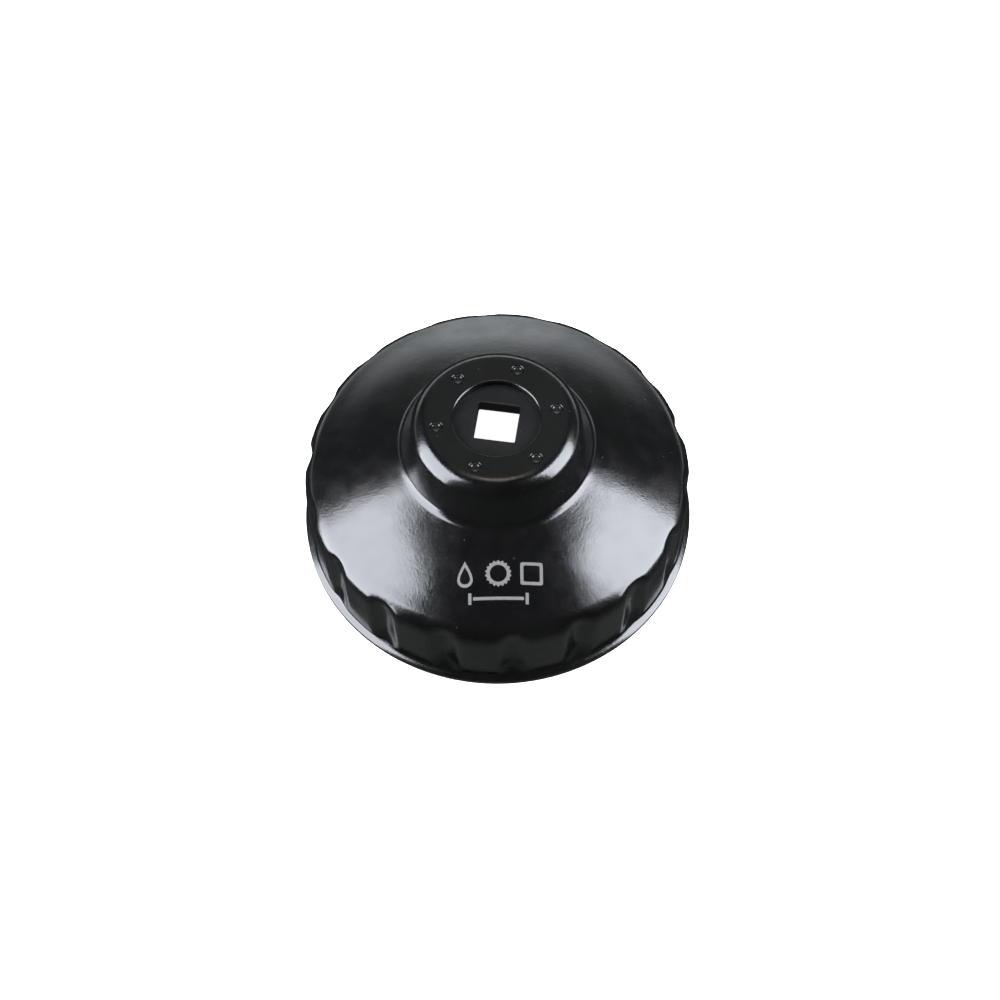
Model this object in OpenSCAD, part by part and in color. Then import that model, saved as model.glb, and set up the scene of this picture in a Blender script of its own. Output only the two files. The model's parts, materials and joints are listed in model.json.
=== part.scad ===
// Cap-type oil filter wrench. A cup pressed from sheet steel drops over the end of a
// spin-on oil filter and its fluted wall grips the filter's fluted end. A thick drive
// plate lies under the hub and takes a square ratchet drive; rivets hold it to the cup.
// Millimetres, +Z up. The cup stands on its rim at z = 0, open side down.

/* [Cup] */
// Overall height, from the rim to the top of the hub
cup_h = 55.5; // [52:0.5:62]
// Thickness of the pressed sheet
sheet_t = 2.2; // [1.8:0.1:2.4]
// Outside radius of the wall, over the lobes between the grooves
wall_r = 60.8; // [57:0.2:64]
// Outside radius of the rounded shoulder between crown and wall
shoulder_r = 6.8; // [5:0.2:8]
// Radius of the slightly domed crown between hub and shoulder, in section
crown_r = 230; // [180:10:300]
// Height of the crown half way between hub and shoulder
crown_z = 35.3; // [34:0.1:36.5]
// Slope of the crown below horizontal half way, in degrees
crown_angle = 23.6; // [22:0.2:25]
// Outside radius of the flare at the foot of the wall, in section
flare_r = 2.6; // [2.2:0.1:3.4]
// How far the rim stands out past the wall
rim_w = 1.8; // [1.4:0.1:2.2]

/* [Hub] */
// Outside radius of the hub just under its rounded edge, before its wall leans outward
hub_r = 26.6; // [26.5:0.1:28]
// Outside radius of the rounded edge at the top of the hub
hub_round_r = 6; // [5:0.1:6.1]
// Lean of the hub's wall from upright, in degrees
hub_draft = 19; // [14:1:24]
// Hollow radius where the hub runs into the crown
hub_fillet_r = 3.6; // [2:0.2:6]
// Radius of the opening in the top of the hub
opening_r = 13.3; // [12:0.1:14]

/* [Flutes] */
// Number of grooves pressed into the wall
flute_n = 18; // [12:1:18]
// Depth of each groove
flute_depth = 2; // [1.5:0.1:2.4]
// Radius of the round bottom of each groove
flute_r = 7; // [5:0.5:8]
// Turn of the first groove from +X, in degrees
flute_turn = 14; // [0:1:19]
// Height at which the grooves start above the rim
flute_foot_z = 4.2; // [3.8:0.1:5]

/* [Drive] */
// Across the flats of the square hole, for a half-inch square drive
square_w = 12.85; // [12.76:0.01:13.03]
// Turn of the square from +X, in degrees
square_turn = -9; // [-45:1:45]
// Thickness of the drive plate
plate_t = 4.4; // [4:0.2:6]
// Radius of the drive plate
plate_r = 22.5; // [22.2:0.1:22.6]
// Bevel round the top edge of the drive plate
plate_bevel = 2; // [1.9:0.1:2.4]

/* [Rivets] */
// Number of rivets round the hub
rivet_n = 6; // [6]
// Radius of the circle that the rivets stand on
rivet_circle_r = 18.5; // [18.2:0.1:18.6]
// Turn of the first rivet from +X, in degrees
rivet_turn = 9.2; // [0:0.1:59]
// Radius of a rivet's shank
rivet_shank_r = 1.4; // [1.2:0.1:1.5]
// Radius of the closed end, flush with the top of the hub
rivet_top_r = 1.8; // [1.7:0.1:2]
// Radius of the pan head under the drive plate
rivet_head_r = 2.8; // [2.4:0.1:3]

/* [Hidden] */

$fn = 128;
crown_fn = 288;                       // the crown's arc is wide, so its circle takes more steps
cut = 1;                              // how far a cutter runs past what it cuts
sink_h = 0.7;                         // depth of the countersink for a rivet's closed end
dish = 0.35;                          // depth of the ring pressed into the closed end
dish_rim = 0.25;                      // land left round that ring
head_h = 1.5;                         // height of the pan head
head_bevel = 0.5;                     // bevel round the pan head

plate_top_z = cup_h - sheet_t;                      // the plate lies against the hub
plate_bottom_z = plate_top_z - plate_t;
rim_r = wall_r + rim_w;
rim_flat = 0.7;                                     // width of the flat that the rim stands on
groove_centre_r = wall_r - flute_depth + flute_r;   // circle that the groove centres stand on

// Centres of the section's arcs. Outer and inner face share them, so the sheet is one
// thickness all over.
crown_centre = [(hub_r + wall_r) / 2, crown_z] - crown_r * [sin(crown_angle), cos(crown_angle)];
hub_centre = [hub_r - hub_round_r, cup_h - hub_round_r];
shoulder_centre = off_crown(wall_r - shoulder_r, -shoulder_r);
// The hollow corner's centre lies its radius off both the hub's wall and the crown. It is
// found by going down along the hub's wall, from level with the centre of the round edge.
hub_out = [cos(hub_draft), sin(hub_draft)];
hub_down = [sin(hub_draft), -cos(hub_draft)];
fillet_start = hub_centre + (hub_round_r + hub_fillet_r) * hub_out;
from_centre = fillet_start - crown_centre;
fillet_centre = fillet_start - hub_down * (from_centre * hub_down
    + sqrt(pow(from_centre * hub_down, 2) - from_centre * from_centre + pow(crown_r + hub_fillet_r, 2)));
flare_centre = [wall_r + flare_r,
                sqrt(pow(flare_r + sheet_t, 2) - pow(wall_r + flare_r - rim_r + rim_flat, 2))];

// The point at radius r that lies a given distance outside the crown
function off_crown(r, outside) =
    [r, crown_centre.y + sqrt(pow(crown_r + outside, 2) - pow(r - crown_centre.x, 2))];
// Unit vector from the centre of the crown's arc to a point
function from_crown(p) = (p - crown_centre) / norm(p - crown_centre);

// Half section of everything inside the cup's outer face moved inward by inset: the
// solid outside at inset 0, and the hollow inside at the thickness of the sheet.
module half_section(inset) {
    side_top = hub_centre + (hub_round_r - inset) * hub_out;
    side_foot = fillet_centre - (hub_fillet_r + inset) * hub_out;
    wall = wall_r - inset;
    crown = crown_r - inset;
    // hub up to its rounded edge
    polygon([[0, 0], [side_foot.x, 0], side_foot, side_top,
             [hub_centre.x, cup_h - inset], [0, cup_h - inset]]);
    translate(hub_centre) circle(hub_round_r - inset);
    // crown and wall, with the shoulder between them
    intersection() {
        translate(crown_centre) circle(crown, $fn = crown_fn);
        polygon([[0, 0], [wall, 0], [wall, shoulder_centre.y],
                 shoulder_centre, crown_centre + crown_r * 1.1 * from_crown(shoulder_centre),
                 [0, crown_centre.y + crown_r * 1.1]]);
    }
    translate(shoulder_centre) circle(shoulder_r - inset);
    // hollow corner at the foot of the hub
    difference() {
        polygon([fillet_centre, side_foot, off_crown(side_foot.x, -inset),
                 crown_centre + crown * from_crown(fillet_centre)]);
        translate(fillet_centre) circle(hub_fillet_r + inset);
    }
    // hollow corner where the wall flares into the rim
    difference() {
        translate([wall, 0]) square([rim_r - wall, flare_centre.y]);
        translate(flare_centre) circle(flare_r + inset);
    }
}

// Copies its children round the axis, count times
module around(count, turn) {
    for (k = [0:count - 1]) rotate(turn + k * 360 / count) children();
}

// The round bottoms of the grooves, from a given height up
module grooves(inset, from_z) {
    around(flute_n, flute_turn)
        translate([groove_centre_r, 0, from_z]) cylinder(r = flute_r + inset, h = cup_h / 2);
}

// One rivet, standing where its hole is: closed end, shank, and pan head underneath
module rivet(k) {
    top = cup_h;
    neck = top - sink_h;
    head = plate_bottom_z;
    half = [[0, top - dish / 2], [rivet_top_r / 3, top - dish], [rivet_top_r - 2 * dish_rim, top - dish],
            [rivet_top_r - dish_rim, top], [rivet_top_r, top], [rivet_shank_r, neck],
            [rivet_shank_r, head], [rivet_head_r, head], [rivet_head_r, head - head_h + head_bevel],
            [rivet_head_r - head_bevel, head - head_h], [0, head - head_h]];
    color([0.07, 0.07, 0.08])
        rotate(rivet_turn + k * 360 / rivet_n) translate([rivet_circle_r, 0, 0])
            rotate_extrude() polygon(half);
}

// Pressed cup: sheet-thick shell with a fluted wall and a turned-out rim
module cup() {
    color([0.05, 0.05, 0.06])
    difference() {
        rotate_extrude() half_section(0);
        grooves(0, flute_foot_z);
        difference() {
            rotate_extrude() half_section(sheet_t);
            grooves(sheet_t, flute_foot_z - sheet_t);
        }
        translate([0, 0, plate_top_z - cut]) cylinder(r = opening_r, h = sheet_t + 2 * cut);
        around(rivet_n, rivet_turn) translate([rivet_circle_r, 0, 0]) {
            translate([0, 0, plate_top_z - cut]) cylinder(r = rivet_shank_r, h = sheet_t + 2 * cut);
            translate([0, 0, cup_h - sink_h])
                cylinder(r1 = rivet_shank_r, r2 = rivet_top_r, h = sink_h);
        }
    }
}

// Thick plate under the hub, with the square hole and the rivet holes
module drive_plate() {
    color([0.06, 0.06, 0.07])
    translate([0, 0, plate_bottom_z])
    difference() {
        rotate_extrude() polygon([[0, 0], [plate_r, 0], [plate_r, plate_t - plate_bevel],
                                  [plate_r - plate_bevel, plate_t], [0, plate_t]]);
        rotate(square_turn) translate([-square_w / 2, -square_w / 2, -cut])
            cube([square_w, square_w, plate_t + 2 * cut]);
        around(rivet_n, rivet_turn) translate([rivet_circle_r, 0, -cut])
            cylinder(r = rivet_shank_r, h = plate_t + 2 * cut);
    }
}

cup();
drive_plate();
for (k = [0:rivet_n - 1])
    rivet(k);
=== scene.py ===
"""Looks of the cap-type oil filter wrench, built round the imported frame. Metres, row frame."""
import json
import math

import bmesh
import bpy
import numpy as np
from mathutils import Matrix, Vector


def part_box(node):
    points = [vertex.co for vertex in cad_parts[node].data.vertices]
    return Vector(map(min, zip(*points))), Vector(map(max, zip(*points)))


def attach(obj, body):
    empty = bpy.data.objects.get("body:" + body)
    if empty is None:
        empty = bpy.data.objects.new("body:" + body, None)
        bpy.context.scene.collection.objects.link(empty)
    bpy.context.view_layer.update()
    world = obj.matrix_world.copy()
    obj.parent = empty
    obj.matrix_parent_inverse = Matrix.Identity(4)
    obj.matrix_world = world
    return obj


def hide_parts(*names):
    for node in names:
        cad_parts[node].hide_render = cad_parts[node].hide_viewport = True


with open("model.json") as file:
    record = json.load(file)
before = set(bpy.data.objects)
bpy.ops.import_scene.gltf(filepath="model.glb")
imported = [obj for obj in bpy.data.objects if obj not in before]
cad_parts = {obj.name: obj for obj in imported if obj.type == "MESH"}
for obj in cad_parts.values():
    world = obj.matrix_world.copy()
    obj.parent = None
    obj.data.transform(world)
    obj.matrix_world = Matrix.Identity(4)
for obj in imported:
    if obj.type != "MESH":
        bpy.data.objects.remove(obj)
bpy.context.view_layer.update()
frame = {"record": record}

MM = 0.001

# ---------------------------------------------------------------- sizes, in millimetres
CUP_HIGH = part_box("cup")[1] / MM
PLATE_LOW, PLATE_HIGH = (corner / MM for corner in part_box("drive_plate"))
RIVETS = ["rivet_%d" % k for k in range(1, 7)]
MOUNTS = {mount["name"]: mount for mount in frame["record"]["mounts"]}

CUP_H = CUP_HIGH.z
RIM_R = CUP_HIGH.x
SHEET = CUP_H - PLATE_HIGH.z
OPENING_R = MOUNTS["collar_opening"]["dims"]["r_mm"]
PLATE_R = PLATE_HIGH.x

RIM_W = 1.8                   # how far the rim stands out past the wall
WALL_R = RIM_R - RIM_W        # outside of the wall, over its lobes
SHOULDER_R = 6.8              # rounded shoulder between crown and wall
HUB_R = 26.6                  # outside of the hub where its round edge would stand upright
HUB_ROUND = 6.0               # rounded top edge of the hub
HUB_DRAFT = 19.0              # lean of the hub's wall from upright, in degrees
HUB_FILLET = 3.6              # hollow corner at the foot of the hub
CROWN_R = 230.0               # section radius of the slightly domed crown
CROWN_Z = 35.3                # height of the crown half way out
CROWN_ANGLE = 23.6            # its slope there, in degrees
# How the crown departs from its arc: radius, and degrees of slope more than the arc has there
SWELL = ((34, 0), (38, -0.5), (44, 0.5), (50, 1.0), (53, 0), (57, -3.5))
FLARE_R = 2.6                 # section radius of the flare at the foot of the wall, inside
FOOT_R, FOOT_SLOPE = 1.2, 28  # outside, a tighter corner runs into a straight slope, in degrees
FADE_H = 5.0                  # height over which a groove fades out above the rim
RIM_FLAT = 0.7                # flat that the rim stands on
EDGE = 0.35                   # rounding of the rim's edge
EDGE_MIDDLE = 0.3             # how far in the middle of a rounded edge lies, against its radius
OPENING_EDGE = 0.6            # rounding of the edges of the hub's opening
WINDOW_IN = 15.7              # the hub's flat is meshed round each rivet from here to its edge
HUB_FLAT = [OPENING_R + OPENING_EDGE, 14.6, WINDOW_IN, 16.9, 18.3, 19.6, HUB_R - HUB_ROUND]

FLUTES = 18
FLUTE_DEPTH = 2.0
FLUTE_HALF_W = 6.2            # half the width of a groove where it meets the lobes
FLUTE_TURN = 14.0             # degrees from +X to a groove
FLUTE_START = (0.12, 1.05)    # a groove sets in over this share of the shoulder's arc

SQUARE_W = 12.85
SQUARE_TURN = -9.0            # degrees
SQUARE_BEVEL = 0.35
SQUARE_SHARPNESS = 30         # power in the formula of the square, whose corners are a little round
PLATE_BEVEL = 2.0             # round the upper edge
PLATE_EDGE = 0.6              # broken lower edge
PLATE_ROUND_R = 12.0          # here the face's rings have gone over from square to round
PLATE_FLAT = [14.0, 16.1, 17.2, 18.4, 19.6, 20.9]  # radii of its further rings, window from the second

MARK_R = 42.6                 # plan radius of the etched icons' centres, at the front of the crown
MARK_PITCH = 10.0             # from one icon to the next
MARK_LINE = 0.95              # width of the etched lines
MARK_UP, MARK_DOWN = 0.015, -0.06   # top and bottom of the etched layer, off the crown's face
DROP_HALF_W, DROP_HALF_H = 3.3, 4.0
DROP_CORE = 0.66              # size of the drop's open middle against the drop
DROP_MIDDLE = (0, -1.1)       # the point that it shrinks towards
RING_R, RING_WAVE, RING_LAND = 3.75, 0.25, 3.5     # fluted outside, and where its line starts
ICON_HALF = 3.4               # half the width of the square icon
BAR_R = 49.4                  # plan radius of the size bar under the icons
BAR_HALF_W, BAR_TICK, BAR_GAP = 8.6, 3.4, 0.5     # the gap is between the bar and its end ticks

SHANK_R = 1.4
RIVET_TOP_R = 1.8             # closed end of a rivet, flush with the hub
SINK_H = 0.7                  # countersink for it
SINK_EDGE = 0.16              # depth of the rolled edge of hole and closed end
HOLE_LIP, HOLE_GAP = 0.2, 0.04      # round the closed end: start of the hole's lip, and the gap
HEAD_EDGE = 0.5               # bevel round the pan head
DISH_R, LAND_R = 1.5, 1.62    # the closed end is dished, inside a narrow land
DISH_TIP, DISH_RING = 0.1, 0.22     # depth of the dish in the middle, and of the ring round it


# ---------------------------------------------------------------- sections and solids
def arc(centre, radius, start, end, steps):
    """Points (r, z) along an arc between two angles in degrees."""
    angles = np.radians(np.linspace(start, end, steps + 1))
    return np.stack([centre[0] + radius * np.cos(angles), centre[1] + radius * np.sin(angles)], 1)


def line(start, end, steps):
    """Points (r, z) along a straight line, both ends included."""
    share = np.linspace(0, 1, steps + 1)[:, None]
    return np.array(start) * (1 - share) + np.array(end) * share


def join(*stretches):
    """One run of points from several, without the points that neighbours share."""
    points = [stretches[0]]
    for stretch in stretches[1:]:
        same = np.linalg.norm(stretch[0] - points[-1][-1]) < 1e-6
        points.append(stretch[1:] if same else stretch)
    return np.concatenate(points)


def smooth(low, high, value):
    """0 below low, 1 above high, and a smooth rise between."""
    share = np.clip((value - low) / (high - low), 0, 1)
    return share * share * (3 - 2 * share)


def bearing(centre, point):
    """Direction in degrees from centre to point in the section plane."""
    return math.degrees(math.atan2(point[1] - centre[1], point[0] - centre[0]))


def circle_of(columns, turn):
    """Angles of the columns of a turned solid, in radians."""
    return np.radians(turn) + np.arange(columns) * 2 * math.pi / columns


class Solid:
    """Points and faces of one closed piece, in millimetres."""

    def __init__(self):
        self.points, self.faces, self.count = [], [], 0

    def add(self, points):
        """Adds points and returns their numbers."""
        points = np.asarray(points, float).reshape(-1, 3)
        numbers = np.arange(self.count, self.count + len(points))
        self.points.append(points)
        self.count += len(points)
        return numbers

    def rows(self, grid, closed=False, skip=None):
        """Adds a grid of points, rows by columns, closed along its columns, with its faces."""
        count, columns = grid.shape[:2]
        numbers = self.add(grid).reshape(count, columns)
        for row in range(count if closed else count - 1):
            low, high = numbers[row], numbers[(row + 1) % count]
            for column in range(columns):
                if skip is None or not skip(row, column):
                    after = (column + 1) % columns
                    self.faces.append((low[column], low[after], high[after], high[column]))
        return numbers

    def strip(self, first, second):
        """Faces between two closed loops with the same number of points."""
        for a in range(len(first)):
            b = (a + 1) % len(first)
            self.faces.append((first[a], first[b], second[b], second[a]))

    def cap(self, loop, tip):
        """Closes a loop with a fan to one point."""
        number = self.add([tip])[0]
        for a in range(len(loop)):
            self.faces.append((loop[a], loop[(a + 1) % len(loop)], number))

    def make(self, name, material, sharp=38):
        """The Blender object, in metres, with smooth shading up to an angle of sharp degrees."""
        points = np.concatenate(self.points) * MM
        used = np.unique(np.concatenate([np.array(face) for face in self.faces]))
        renumber = np.zeros(len(points), int)
        renumber[used] = np.arange(len(used))
        mesh = bpy.data.meshes.new(name)
        mesh.from_pydata(points[used].tolist(), [], [renumber[list(face)].tolist() for face in self.faces])
        work = bmesh.new()
        work.from_mesh(mesh)
        bmesh.ops.recalc_face_normals(work, faces=work.faces)
        for face in work.faces:
            face.smooth = True
        for edge in work.edges:
            edge.smooth = len(edge.link_faces) == 2 and edge.calc_face_angle(0) < math.radians(sharp)
        work.to_mesh(mesh)
        work.free()
        mesh.materials.append(material)
        piece = bpy.data.objects.new(name, mesh)
        bpy.context.scene.collection.objects.link(piece)
        return piece


def window_test(bands, middles, reach, columns):
    """Test for Solid.rows that leaves out the faces inside windows over a row of holes."""
    holed = {(middle + k) % columns for middle in middles for k in range(-reach, reach)}
    return lambda row, column: column in holed and any(low <= row < high for low, high in bands)


def flipped_rows(rows, count):
    """The same two rows of a grid of so many rows, counted from its other end."""
    return (count - 1 - rows[1], count - 1 - rows[0])


def window_loop(numbers, rows, column, reach):
    """Numbers of the points round a window in a grid, between two rows and reach columns each way."""
    first, last = rows
    columns = numbers.shape[1]
    across = [(column + k) % columns for k in range(-reach, reach + 1)]
    up = [numbers[row, across[-1]] for row in range(first + 1, last)]
    down = [numbers[row, across[0]] for row in range(last - 1, first, -1)]
    return [*numbers[first, across], *up, *numbers[last, across[::-1]], *down]


def window_to_circle(solid, loop, centre, radius, steps=3):
    """Fills between a window and the round hole inside it with rings. Returns the hole's edge."""
    points = np.concatenate(solid.points)[loop]
    away = points[:, :2] - centre
    circle = points.copy()
    circle[:, :2] = centre + away / np.linalg.norm(away, axis=1)[:, None] * radius
    ring = loop
    for step in range(1, steps + 1):
        inner = solid.add(points + (circle - points) * step / steps)
        solid.strip(ring, inner)
        ring = inner
    return ring


def ring_at(solid, ring, centre, radius, z):
    """A copy of a round ring at another radius and height, with the faces between."""
    points = np.concatenate(solid.points)[ring]
    away = points[:, :2] - centre
    points[:, :2] = centre + away / np.linalg.norm(away, axis=1)[:, None] * radius
    points[:, 2] = z
    after = solid.add(points)
    solid.strip(ring, after)
    return after


def rivet_centres():
    """Where the rivets stand, in millimetres, from their CAD nodes."""
    places = []
    for name in RIVETS:
        low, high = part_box(name)
        places.append(np.array((low + high).xy) / 2 / MM)
    return places


# ---------------------------------------------------------------- the pieces
# Steps along each stretch of the cup's section, from the opening out and down to the rim
OPENING_STEPS, HUB_STEPS, FILLET_STEPS, CROWN_STEPS = 4, 12, 10, 15
SHOULDER_STEPS, WALL_STEPS, FOOT_STEPS, SLOPE_STEPS = 12, 9, 6, 3
FLUTE_COLUMNS = 32              # columns of the cup's mesh to each groove
PLATE_COLUMNS, RIVET_COLUMNS = 384, 48

CROWN_CENTRE = np.array([
    (HUB_R + WALL_R) / 2 - CROWN_R * math.sin(math.radians(CROWN_ANGLE)),
    CROWN_Z - CROWN_R * math.cos(math.radians(CROWN_ANGLE)),
])
HUB_ROUND_CENTRE = np.array([HUB_R - HUB_ROUND, CUP_H - HUB_ROUND])


def off_crown(radius, outside):
    """The point at a radius that lies a distance outside the crown's arc."""
    reach = CROWN_R + outside
    return (radius, CROWN_CENTRE[1] + math.sqrt(reach**2 - (radius - CROWN_CENTRE[0]) ** 2))


def swell_height(radius):
    """How far the pressed crown lies above its arc, from the extra slope that it gathers."""
    steps = np.linspace(SWELL[0][0], SWELL[-1][0] + 1, 241)
    extra = np.radians(np.interp(steps, *zip(*SWELL))) / math.cos(math.radians(CROWN_ANGLE)) ** 2
    gathered = -np.concatenate([[0], np.cumsum((extra[1:] + extra[:-1]) / 2 * np.diff(steps))])
    return np.interp(radius, steps, gathered)


def crown_height(radius, outside=0.0):
    """Height of the crown's outer face, or of a layer a distance outside it."""
    reach = CROWN_R + outside
    return CROWN_CENTRE[1] + np.sqrt(reach**2 - (radius - CROWN_CENTRE[0]) ** 2) + swell_height(radius)


def shoulder_start():
    """Where the crown ends, and its slope there in degrees."""
    radius = WALL_R - SHOULDER_R
    for _ in range(20):             # radius and slope settle on each other
        arc_slope = math.degrees(math.asin((radius - CROWN_CENTRE[0]) / CROWN_R))
        slope = arc_slope + np.interp(radius, *zip(*SWELL))
        radius = WALL_R - SHOULDER_R * (1 - math.sin(math.radians(slope)))
    return radius, slope


def fillet_centre():
    """Centre of the hollow corner that touches both the hub's leaning wall and the crown."""
    draft = math.radians(HUB_DRAFT)
    out = np.array([math.cos(draft), math.sin(draft)])
    down = np.array([math.sin(draft), -math.cos(draft)])
    start = HUB_ROUND_CENTRE + (HUB_ROUND + HUB_FILLET) * out
    way = start - CROWN_CENTRE
    fall = way @ down + math.sqrt((way @ down) ** 2 - way @ way + (CROWN_R + HUB_FILLET) ** 2)
    return start - fall * down


def outer_foot(rim_z):
    """Outer face from the foot of the wall to the rim: a tight corner, then a straight slope."""
    slope = math.radians(FOOT_SLOPE)
    run = RIM_R - EDGE - WALL_R - FOOT_R * (1 - math.sin(slope))
    centre = (WALL_R + FOOT_R, rim_z + run * math.tan(slope) + FOOT_R * math.cos(slope))
    corner = arc(centre, FOOT_R, 180, 270 - FOOT_SLOPE, FOOT_STEPS)
    return join(corner, line(corner[-1], (RIM_R - EDGE, rim_z), SLOPE_STEPS))


def cup_section(depth):
    """Closed section (r, z) of the sheet where the wall is pressed in by depth, point for point."""
    hub, fillet = HUB_ROUND_CENTRE, fillet_centre()
    crown_end, end_slope = shoulder_start()
    drop = SHOULDER_R * math.cos(math.radians(end_slope))
    shoulder = (WALL_R - SHOULDER_R, crown_height(crown_end) - drop)
    fillet_end = bearing(CROWN_CENTRE, fillet)
    crown_stop = bearing(CROWN_CENTRE, off_crown(crown_end, 0))
    flare_x = WALL_R + FLARE_R
    flare = (flare_x, math.sqrt((FLARE_R + SHEET) ** 2 - (flare_x - RIM_R + RIM_FLAT) ** 2))
    rim_z = flare[1] - math.sqrt(FLARE_R**2 - (flare_x - RIM_R + EDGE) ** 2)
    flat_end = 180 + math.degrees(math.acos((flare_x - RIM_R + RIM_FLAT) / (FLARE_R + SHEET)))
    foot = outer_foot(rim_z)
    lowest = (rim_z, rim_z + FADE_H)

    def side(inset):
        """From the hub's flat top out and down to the flare, on the sheet's face moved in by inset."""
        crown = arc(CROWN_CENTRE, CROWN_R - inset, fillet_end, crown_stop, CROWN_STEPS)
        crown[:, 1] += swell_height(arc(CROWN_CENTRE, CROWN_R, fillet_end, crown_stop, CROWN_STEPS)[:, 0])
        curve = arc(shoulder, SHOULDER_R - inset, 90 - end_slope, 0, SHOULDER_STEPS)
        curve[:, 0] -= depth * smooth(*FLUTE_START, np.linspace(0, 1, SHOULDER_STEPS + 1))
        wall_foot = foot[0, 1] if inset == 0 else flare[1]
        wall = line((WALL_R - inset, shoulder[1]), (WALL_R - inset, wall_foot), WALL_STEPS)
        wall[:, 0] -= depth * smooth(*lowest, wall[:, 1])
        flared = foot.copy()
        if inset > 0:
            flared = arc(flare, FLARE_R + inset, 180, flat_end, len(foot) - 1)
        flared[:, 0] -= depth * smooth(*lowest, foot[:, 1])
        wall[0], flared[0] = curve[-1], wall[-1]
        return join(
            np.array([[r, CUP_H - inset] for r in HUB_FLAT]),
            arc(hub, HUB_ROUND - inset, 90, HUB_DRAFT, HUB_STEPS),
            arc(fillet, HUB_FILLET + inset, 180 + HUB_DRAFT, 180 + fillet_end, FILLET_STEPS),
            crown,
            curve,
            wall,
            flared,
        )

    outer, inner = side(0), side(SHEET)[::-1]
    edge_r = OPENING_R + OPENING_EDGE
    opening = arc((edge_r, CUP_H - OPENING_EDGE), OPENING_EDGE, 180, 90, OPENING_STEPS)
    low_centre = (edge_r, CUP_H - SHEET + OPENING_EDGE)
    opening_low = arc(low_centre, OPENING_EDGE, 270, 180, OPENING_STEPS)
    inward = EDGE * EDGE_MIDDLE
    rim = [(RIM_R, rim_z - EDGE), (RIM_R, EDGE), (RIM_R - inward, inward), (RIM_R - EDGE, 0)]
    return join(opening, outer, np.array(rim), inner, opening_low)


def build_cup(material):
    """Pressed cup: one sheet thickness all over, fluted wall, flared rim, six countersunk holes."""
    columns = FLUTES * FLUTE_COLUMNS
    centres = rivet_centres()
    first = math.degrees(math.atan2(centres[0][1], centres[0][0]))
    angles = circle_of(columns, first)
    turn = np.degrees(angles) - FLUTE_TURN
    pitch = 360 / FLUTES
    off = np.abs((turn + pitch / 2) % pitch - pitch / 2)
    across = np.clip(np.radians(off) * WALL_R / FLUTE_HALF_W, 0, 1)
    pressed = (0.5 + 0.5 * np.cos(math.pi * across))[None, :, None]

    plain, full = cup_section(0.0), cup_section(FLUTE_DEPTH)
    section = plain[:, None, :] * (1 - pressed) + full[:, None, :] * pressed
    grid = np.stack(
        [section[..., 0] * np.cos(angles), section[..., 0] * np.sin(angles), section[..., 1]], 2
    )
    top = OPENING_STEPS
    bottom = len(plain) - 1 - OPENING_STEPS
    window_ring, last_ring = HUB_FLAT.index(WINDOW_IN), len(HUB_FLAT) - 1
    top_rows = (top + window_ring, top + last_ring)
    low_rows = (bottom - last_ring, bottom - window_ring)
    reach = 13
    middles = [round(k * columns / len(centres)) for k in range(len(centres))]

    solid = Solid()
    in_window = window_test((top_rows, low_rows), middles, reach, columns)
    numbers = solid.rows(grid, closed=True, skip=in_window)
    for middle in middles:
        angle = angles[middle]
        centre = np.array([math.cos(angle), math.sin(angle)]) * np.linalg.norm(centres[0])
        upper = window_loop(numbers, top_rows, middle, reach)
        edge = window_to_circle(solid, upper, centre, RIVET_TOP_R + HOLE_LIP)
        edge = ring_at(solid, edge, centre, RIVET_TOP_R + HOLE_GAP, CUP_H - SINK_EDGE)
        edge = ring_at(solid, edge, centre, SHANK_R, CUP_H - SINK_H)
        lower = window_loop(numbers[::-1], flipped_rows(low_rows, len(numbers)), middle, reach)
        low_edge = window_to_circle(solid, lower, centre, SHANK_R)
        solid.strip(edge, low_edge)
    return solid.make("cup_shell", material)


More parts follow.
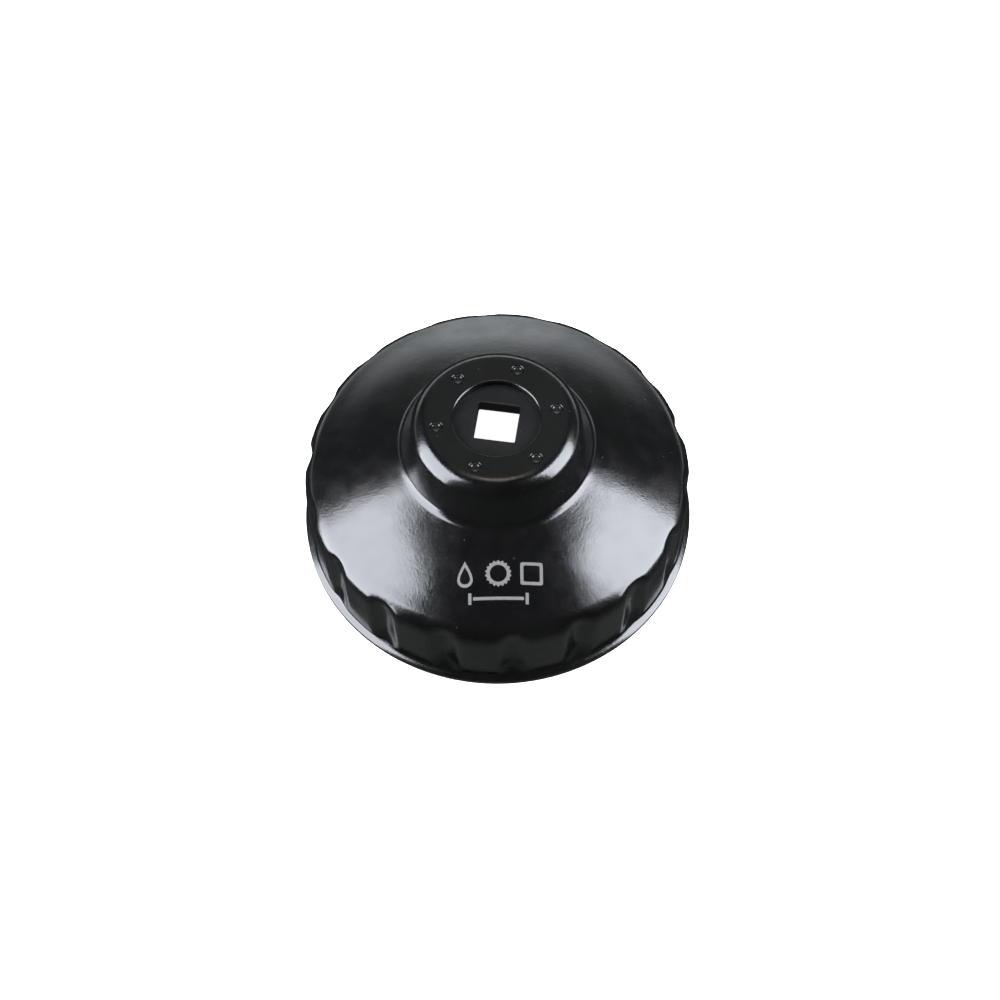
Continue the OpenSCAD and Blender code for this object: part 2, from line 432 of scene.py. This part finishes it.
def build_plate(material):
    """Drive plate: square hole with broken edges, six shank holes, bevelled upper edge."""
    columns = PLATE_COLUMNS
    centres = rivet_centres()
    angles = circle_of(columns, SQUARE_TURN + 45)
    turned = angles - math.radians(SQUARE_TURN)
    sides = np.abs(np.cos(turned)) ** SQUARE_SHARPNESS + np.abs(np.sin(turned)) ** SQUARE_SHARPNESS
    square = SQUARE_W / 2 / sides ** (1 / SQUARE_SHARPNESS)
    low, high = PLATE_LOW.z, PLATE_HIGH.z
    shares = (0.0, 0.15, 0.4, 0.7, 1.0)     # where the face's first rings lie, from square to round

    def ring(radius, z):
        return np.stack([radius * np.cos(angles), radius * np.sin(angles), np.full(columns, z)], 1)

    def face(z, rim):
        """Rings of a flat face from the square's edge to the rim."""
        inner = square + SQUARE_BEVEL
        blend = [inner + (PLATE_ROUND_R - inner) * share for share in shares]
        return [ring(np.broadcast_to(radius, columns), z) for radius in (*blend, *PLATE_FLAT, rim)]

    step = SQUARE_BEVEL * EDGE_MIDDLE
    bore = [
        ring(square, low + SQUARE_BEVEL),
        *[ring(square, z) for z in np.linspace(low + 1, high - 1, 4)],
        ring(square, high - SQUARE_BEVEL),
        ring(square + step, high - step),
    ]
    up = face(high, PLATE_R - PLATE_BEVEL)
    rim = [
        ring(np.full(columns, PLATE_R - 0.3), high - PLATE_BEVEL + 0.5),
        ring(np.full(columns, PLATE_R), high - PLATE_BEVEL),
        ring(np.full(columns, PLATE_R), low + PLATE_EDGE),
    ]
    down = face(low, PLATE_R - PLATE_EDGE)[::-1]
    grid = np.stack([*bore, *up, *rim, *down, ring(square + step, low + step)])
    window_span = len(PLATE_FLAT) - 2       # the window runs from the second of those rings to the last
    start = len(bore) + len(shares) + 1
    top_rows = (start, start + window_span)
    start = len(bore) + len(up) + len(rim) + 1
    low_rows = (start, start + window_span)
    reach = 9
    middles = [int(np.argmax(np.cos(angles - math.atan2(y, x)))) for x, y in centres]

    solid = Solid()
    in_window = window_test((top_rows, low_rows), middles, reach, columns)
    numbers = solid.rows(grid, closed=True, skip=in_window)
    rows = flipped_rows(low_rows, len(grid))
    for middle, centre in zip(middles, centres):
        upper = window_to_circle(solid, window_loop(numbers, top_rows, middle, reach), centre, SHANK_R)
        lower = window_to_circle(solid, window_loop(numbers[::-1], rows, middle, reach), centre, SHANK_R)
        solid.strip(upper, lower)
    return solid.make("drive_plate_body", material)


def build_rivet(name, material):
    """Rivet: dished closed end, countersink, shank and pan head, turned about its own axis."""
    low, high = (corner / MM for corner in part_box(name))
    centre = (low + high) / 2
    head_r = (high.x - low.x) / 2
    radii = np.linspace(0.12, DISH_R, 12)
    sink = DISH_TIP * (1 - radii / DISH_R) + DISH_RING * np.sin(math.pi * radii / DISH_R) ** 2
    profile = [
        *zip(radii, high.z - sink),
        (LAND_R, high.z),
        (RIVET_TOP_R - 0.09, high.z - 0.03),
        (RIVET_TOP_R - 0.02, high.z - SINK_EDGE),
        (SHANK_R, high.z - SINK_H),
        (SHANK_R, PLATE_LOW.z),
        (head_r - 0.1, PLATE_LOW.z),
        (head_r, PLATE_LOW.z - 0.12),
        (head_r, low.z + HEAD_EDGE),
        (head_r - HEAD_EDGE * 0.3, low.z + HEAD_EDGE * 0.4),
        (head_r - HEAD_EDGE, low.z),
        (0.6, low.z),
    ]
    angles = circle_of(RIVET_COLUMNS, 0)
    flat = np.zeros(RIVET_COLUMNS)
    rings = [
        np.stack([centre.x + r * np.cos(angles), centre.y + r * np.sin(angles), flat + z], 1)
        for r, z in profile
    ]
    solid = Solid()
    numbers = solid.rows(np.stack(rings))
    solid.cap(numbers[0], (centre.x, centre.y, high.z - DISH_TIP))
    solid.cap(numbers[-1], (centre.x, centre.y, low.z))
    return solid.make(name + "_body", material)


def on_crown(flat, radius, outside):
    """Points of a flat drawing (right, up) laid on the crown's front, a distance outside its face."""
    flat = np.asarray(flat, float)
    up = flat[..., 1] * math.cos(math.radians(CROWN_ANGLE))
    x, y = flat[..., 0], up - radius
    return np.stack([x, y, crown_height(np.hypot(x, y), outside)], -1)


def etch_ring(solid, outer, inner):
    """Adds a thin closed ring between two outlines with the same number of points."""
    loops = ((outer, MARK_UP), (inner, MARK_UP), (inner, MARK_DOWN), (outer, MARK_DOWN))
    solid.rows(np.stack([on_crown(loop, MARK_R, off) for loop, off in loops]), closed=True)


def etch_line(solid, start, end, width, steps):
    """Adds a thin closed strip along a straight line in the plane of the size bar."""
    start, end = np.array(start, float), np.array(end, float)
    along = (end - start) / np.linalg.norm(end - start)
    aside = np.array([-along[1], along[0]]) * width / 2
    middle = line(start, end, steps)
    corners = ((aside, MARK_UP), (-aside, MARK_UP), (-aside, MARK_DOWN), (aside, MARK_DOWN))
    grid = np.stack([on_crown(middle + off, BAR_R, height) for off, height in corners], 1)
    numbers = solid.rows(grid)
    solid.faces += [tuple(numbers[0]), tuple(numbers[-1][::-1])]


def build_mark(material):
    """Etched mark without letters: an oil drop, a fluted ring and a square, over a size bar."""
    solid = Solid()
    turn = np.linspace(0, 2 * math.pi, 108, endpoint=False)
    ring = np.stack([np.sin(turn), np.cos(turn)], 1)

    half_w = DROP_HALF_W * np.abs(np.sin(turn / 2)) ** 1.5      # narrows to the tip
    drop = np.stack([half_w * np.sin(turn), DROP_HALF_H * np.cos(turn)], 1)
    core = DROP_MIDDLE + (drop - DROP_MIDDLE) * DROP_CORE
    etch_ring(solid, drop - (MARK_PITCH, 0), core - (MARK_PITCH, 0))

    fluted = ring * (RING_R + RING_WAVE * np.cos(FLUTES * turn))[:, None]
    etch_ring(solid, fluted, ring * (RING_LAND - MARK_LINE))

    power = 12                                                  # makes the circle a round-cornered square
    sides = (np.abs(np.cos(turn)) ** power + np.abs(np.sin(turn)) ** power) ** (-1 / power)
    outer, inner = (ring * sides[:, None] * half for half in (ICON_HALF, ICON_HALF - MARK_LINE))
    etch_ring(solid, outer + (MARK_PITCH, 0), inner + (MARK_PITCH, 0))

    for side in (-1, 1):
        end = side * BAR_HALF_W
        etch_line(solid, (end, -BAR_TICK / 2), (end, BAR_TICK / 2), MARK_LINE, 4)
    gap = MARK_LINE / 2 + BAR_GAP
    etch_line(solid, (gap - BAR_HALF_W, 0), (BAR_HALF_W - gap, 0), MARK_LINE, 40)
    return solid.make("etched_mark", material)


# ---------------------------------------------------------------- materials
class Paint:
    """A material under construction, with short calls that add nodes to it."""

    def __init__(self, name):
        self.material = bpy.data.materials.new(name)
        self.material.use_nodes = True
        self.tree = self.material.node_tree
        self.shader = self.tree.nodes["Principled BSDF"]
        self.place = self.node("ShaderNodeTexCoord").outputs["Object"]

    def node(self, kind, inputs=None, **settings):
        made = self.tree.nodes.new(kind)
        for key, value in settings.items():
            setattr(made, key, value)
        for key, value in (inputs or {}).items():
            if isinstance(value, bpy.types.NodeSocket):
                self.tree.links.new(value, made.inputs[key])
            else:
                made.inputs[key].default_value = value
        return made

    def stretched(self, x, y, z):
        """Object coordinates scaled by axis."""
        return self.node("ShaderNodeMapping", {"Vector": self.place, "Scale": (x, y, z)}).outputs[0]

    def noise(self, scale, detail=2.0, place=None):
        """Noise of so many features a metre."""
        inputs = {"Vector": place or self.place, "Scale": scale, "Detail": detail}
        return self.node("ShaderNodeTexNoise", inputs).outputs["Fac"]

    def remap(self, value, low, high, to_low=0.0, to_high=1.0):
        """Value from low to high becomes to_low to to_high, smoothly and no further."""
        inputs = {"Value": value, "From Min": low, "From Max": high, "To Min": to_low, "To Max": to_high}
        return self.node("ShaderNodeMapRange", inputs, interpolation_type="SMOOTHSTEP").outputs[0]

    def math(self, operation, first, second=0.0):
        return self.node("ShaderNodeMath", {0: first, 1: second}, operation=operation).outputs[0]

    def specks(self, scale, size, share):
        """1 on round specks in a share of the cells of a lattice of so many cells a metre."""
        inputs = {"Vector": self.place, "Scale": scale}
        cells = self.node("ShaderNodeTexVoronoi", inputs).outputs
        chosen = self.remap(self.node("ShaderNodeSeparateXYZ", {0: cells["Color"]}).outputs[0], 1 - share, 1)
        return self.math("MULTIPLY", self.remap(cells["Distance"], size, size * 0.4), chosen)

    def blend(self, share, first, second):
        """Colour from first to second as share goes from 0 to 1."""
        inputs = {"Factor": share, "A": first, "B": second}
        made = self.node("ShaderNodeMix", data_type="RGBA")
        for key, value in inputs.items():
            socket = [s for s in made.inputs if s.name == key and s.enabled][0]
            if isinstance(value, bpy.types.NodeSocket):
                self.tree.links.new(value, socket)
            else:
                socket.default_value = value
        return [s for s in made.outputs if s.enabled][0]

    def bump(self, height, distance, strength=1.0, normal=None):
        """A normal from a height of 0 to 1 that stands for so many metres."""
        inputs = {"Height": height, "Distance": distance, "Strength": strength}
        if normal is not None:
            inputs["Normal"] = normal
        return self.node("ShaderNodeBump", inputs).outputs["Normal"]

    def finish(self, colour=None, roughness=None, normal=None, **fixed):
        """Links what varies to the shader and sets what is the same all over."""
        varying = {"Base Color": colour, "Roughness": roughness, "Normal": normal}
        for key, value in varying.items():
            if value is not None:
                self.tree.links.new(value, self.shader.inputs[key])
        for key, value in fixed.items():
            self.shader.inputs[key.replace("_", " ")].default_value = value
        return self.material


def tinted(level, tint=(1.0, 1.0, 1.05)):
    """A colour of a given level, by default a faintly cold black."""
    return (level * tint[0], level * tint[1], level * tint[2], 1.0)


# Features a metre: blotches in the film, uneven gloss, broad and fine orange peel, dust and specks
BLOTCHES, GLOSS_PATCHES, PEEL, FINE_PEEL, DUST, SPECKS = 45, 160, 420, 1500, 2600, 400
DUST_COLOUR = tinted(0.05)
BARE_STEEL = (1.05, 1.0, 0.95)


def enamel(name, level, rough, peel, specular=0.5, painted_shade_below=None):
    """Gloss black enamel with orange peel, dust and uneven gloss, and painted shade: near-black colour below
    a height.

    The height is in millimetres, and peel is the depth of the orange peel in metres.
    """
    paint = Paint(name)
    cloud = paint.noise(BLOTCHES, 4)
    fine = paint.noise(DUST, 3)
    dust = paint.remap(fine, 0.68, 0.78)
    tone = paint.blend(paint.remap(cloud, 0.35, 0.65), tinted(level), tinted(level * 1.6))
    film = paint.blend(paint.math("MULTIPLY", dust, 0.2), tone, DUST_COLOUR)
    colour = paint.blend(paint.specks(SPECKS, 0.1, 0.3), film, DUST_COLOUR)
    # Painted shade: below the given height the colour turns near black, standing in for the shade on the
    # walls of the square hole.
    if painted_shade_below is not None:
        height = paint.node("ShaderNodeSeparateXYZ", {0: paint.place}).outputs["Z"]
        low, high = (painted_shade_below - 0.5) * MM, painted_shade_below * MM
        colour = paint.blend(paint.remap(height, low, high), tinted(0.0004), colour)
    gloss = paint.remap(paint.noise(GLOSS_PATCHES, 3), 0.3, 0.7, rough - 0.03, rough + 0.03)
    gloss = paint.math("ADD", gloss, paint.math("MULTIPLY", dust, 0.08))
    wave = paint.bump(paint.noise(PEEL, 2), peel)
    normal = paint.bump(paint.noise(FINE_PEEL, 3), peel * 1.3, normal=wave)
    return paint.finish(colour, gloss, normal, IOR=1.5, Specular_IOR_Level=specular)


def etched(name):
    """Bare steel laid open by an etching laser: pale, matt and finely hatched."""
    paint = Paint(name)
    hatch = paint.noise(900, 2, paint.stretched(1, 6, 1))
    grain = paint.noise(3800, 2)
    dark, pale = tinted(0.07, BARE_STEEL), tinted(0.11, BARE_STEEL)
    tone = paint.blend(paint.remap(grain, 0.3, 0.7), dark, pale)
    colour = paint.blend(paint.remap(hatch, 0.55, 0.75), tone, DUST_COLOUR)
    return paint.finish(colour, paint.remap(grain, 0.3, 0.7, 0.5, 0.68), paint.bump(hatch, 0.00001))


# ---------------------------------------------------------------- camera, light and floor
CAMERA_ELEVATION = 59.639       # degrees, as is the roll
CAMERA_DISTANCE = 0.591         # metres, as is the target
CAMERA_TARGET = Vector((0.00076, -0.01084, 0.025))
CAMERA_ROLL = 0.6156
LENS_MM = 67.96
SENSOR_MM = 36.0


def compass(azimuth, elevation):
    """Direction at an azimuth from -Y towards +X and an elevation, in degrees."""
    a, e = math.radians(azimuth), math.radians(elevation)
    return Vector((math.sin(a) * math.cos(e), -math.cos(a) * math.cos(e), math.sin(e)))


def add_camera():
    """Camera at the photograph's height, distance and slight tilt, looking from the front."""
    back = compass(0, CAMERA_ELEVATION)
    data = bpy.data.cameras.new("camera")
    data.lens, data.sensor_width = LENS_MM, SENSOR_MM
    data.clip_start, data.clip_end = 0.01, 20
    camera = bpy.data.objects.new("camera", data)
    roll = Matrix.Rotation(-math.radians(CAMERA_ROLL), 3, "Z")
    turn = (-back).to_track_quat("-Z", "Y").to_matrix() @ roll
    camera.matrix_world = Matrix.LocRotScale(CAMERA_TARGET + back * CAMERA_DISTANCE, turn, None)
    bpy.context.scene.collection.objects.link(camera)
    bpy.context.scene.camera = camera


LIGHT_COLOUR = (0.885, 0.92, 1.0)
LIGHT_DISTANCE = 0.9            # metres from the cup to a softbox's middle


def add_softbox(name, azimuth, elevation, roll, width, height, radiance):
    """Softbox aimed at the hub, rolled about its own axis, seen only as light and in reflections."""
    data = bpy.data.lights.new(name, "AREA")
    data.shape, data.size, data.size_y = "RECTANGLE", width, height
    data.energy = radiance * math.pi * width * height
    data.color = LIGHT_COLOUR
    lamp = bpy.data.objects.new(name, data)
    middle = Vector((0, 0, CUP_H * MM * 0.6))
    out = compass(azimuth, elevation)
    turn = (-out).to_track_quat("-Z", "Y").to_matrix() @ Matrix.Rotation(math.radians(roll), 3, "Z")
    lamp.matrix_world = Matrix.LocRotScale(middle + out * LIGHT_DISTANCE, turn, None)
    lamp.visible_camera = False
    bpy.context.scene.collection.objects.link(lamp)


class Sky:
    """World nodes: how bright the studio is in each direction."""

    def __init__(self):
        self.world = bpy.data.worlds.new("studio")
        bpy.context.scene.world = self.world
        self.world.use_nodes = True
        self.tree = self.world.node_tree
        self.tree.nodes.clear()
        place = self.node("ShaderNodeTexCoord").outputs["Generated"]
        split = self.node("ShaderNodeSeparateXYZ", {0: place}).outputs
        front = self.math("MULTIPLY", split["Y"], -1.0)
        turn = self.math("ARCTAN2", split["X"], front)
        self.azimuth = self.math("MULTIPLY", self.math("ABSOLUTE", turn), 180 / math.pi)
        self.elevation = self.math("MULTIPLY", self.math("ARCSINE", split["Z"]), 180 / math.pi)

    node = Paint.node
    math = Paint.math

    def ramp(self, value, low, high):
        inputs = {"Value": value, "From Min": low, "From Max": high}
        return self.node("ShaderNodeMapRange", inputs, interpolation_type="SMOOTHSTEP").outputs[0]

    def within(self, azimuth, elevation, soft=4.0):
        """1 inside ranges of azimuth either way and elevation, 0 outside, with soft edges."""
        share = self.ramp(self.azimuth, azimuth[0] - soft, azimuth[0] + soft)
        limits = [
            self.ramp(self.azimuth, azimuth[1] + soft, azimuth[1] - soft),
            self.ramp(self.elevation, elevation[0] - soft, elevation[0] + soft),
            self.ramp(self.elevation, elevation[1] + soft, elevation[1] - soft),
        ]
        for limit in limits:
            share = self.math("MULTIPLY", share, limit)
        return share

    def finish(self, zones, seen):
        """Adds the zones of light, and shows the camera one even brightness instead."""
        total = None
        for colour, strength, share in zones:
            power = strength if share is None else self.math("MULTIPLY", share, strength)
            glow = self.node("ShaderNodeBackground", {"Color": colour, "Strength": power}).outputs[0]
            if total is None:
                total = glow
            else:
                total = self.node("ShaderNodeAddShader", {0: total, 1: glow}).outputs[0]
        white = {"Color": (1, 1, 1, 1), "Strength": seen}
        backdrop = self.node("ShaderNodeBackground", white).outputs[0]
        camera_ray = self.node("ShaderNodeLightPath").outputs["Is Camera Ray"]
        shown = self.node("ShaderNodeMixShader", {0: camera_ray, 1: total, 2: backdrop}).outputs[0]
        output = self.node("ShaderNodeOutputWorld")
        self.tree.links.new(shown, output.inputs["Surface"])


COOL = (0.90, 1.0, 0.98, 1.0)
PALE = (0.90, 0.96, 1.0, 1.0)
WARM = (1.0, 0.77, 0.6, 1.0)
FREE = 400                      # a limit in degrees that no direction reaches


def add_studio():
    """Two softboxes at the sides, and a dim room with a bright low back and a glow overhead."""
    add_softbox("softbox_left", -77.6, 22.6, roll=4.9, width=0.74, height=1.27, radiance=15.6)
    add_softbox("softbox_right", 81.9, 29.9, roll=-11.4, width=0.60, height=0.93, radiance=17.0)
    sky = Sky()
    # Colour, strength and place: azimuths away from the front, elevations, and softness of the edge
    zones = [
        (COOL, 0.05, None),
        (COOL, 0.07, sky.within((105, FREE), (-5, 75), 10)),
        (COOL, 0.22, sky.within((148, FREE), (20, 75), 10)),
        (PALE, 1.3, sky.within((131, FREE), (-1, 13), 5)),
        (PALE, 0.5, sky.within((169, FREE), (-1, 13), 3)),
        (PALE, 1.1, sky.within((100, FREE), (-1, 6), 3)),
        (COOL, 0.09, sky.within((-FREE, 105), (-FREE, -22), 8)),
        (COOL, 0.9, sky.within((90, FREE), (74, FREE), 5)),
        (WARM, 4.0, sky.within((150, FREE), (75, FREE), 4)),
    ]
    sky.finish(zones, 1.0)


def add_floor():
    """Pale floor, luminous so that it stays white under the cup, and left out of reflections."""
    size = 3.0
    mesh = bpy.data.meshes.new("floor")
    corners = [(-size, -size, 0), (size, -size, 0), (size, size, 0), (-size, size, 0)]
    mesh.from_pydata(corners, [], [(0, 1, 2, 3)])
    paint = Paint("floor_white")
    shade = paint.blend(paint.noise(3), (0.8, 0.8, 0.8, 1), (0.84, 0.84, 0.84, 1))
    paint.finish(shade, Roughness=0.9, Emission_Color=(1, 1, 1, 1), Emission_Strength=1.0)
    mesh.materials.append(paint.material)
    floor = bpy.data.objects.new("floor", mesh)
    floor.location.z = -0.3 * MM        # just clear of the rim
    floor.visible_glossy = False
    bpy.context.scene.collection.objects.link(floor)


# ---------------------------------------------------------------- the scene
def place(piece, node, slot):
    """Puts a finished piece in the place of its CAD node."""
    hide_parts(node)
    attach(piece, "root")


PLATE_SHADE_Z = PLATE_HIGH.z - 0.2       # painted shade: the hole's walls below this height are painted near black, for the shade inside the hole

cup_paint = enamel("cup_black", level=0.0011, rough=0.17, peel=0.00002)
plate_paint = enamel("plate_black", 0.0055, 0.24, 0.00002, specular=0.2, painted_shade_below=PLATE_SHADE_Z)
rivet_paint = enamel("rivet_black", level=0.002, rough=0.15, peel=0.00001)

place(build_cup(cup_paint), "cup", "cup_enamel")
place(build_plate(plate_paint), "drive_plate", "plate_enamel")
mark = build_mark(etched("etched_steel"))
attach(mark, "root")
for rivet in RIVETS:
    place(build_rivet(rivet, rivet_paint), rivet, "rivet_enamel")

add_camera()
add_studio()
add_floor()
bpy.context.scene.view_settings.view_transform = "Standard"
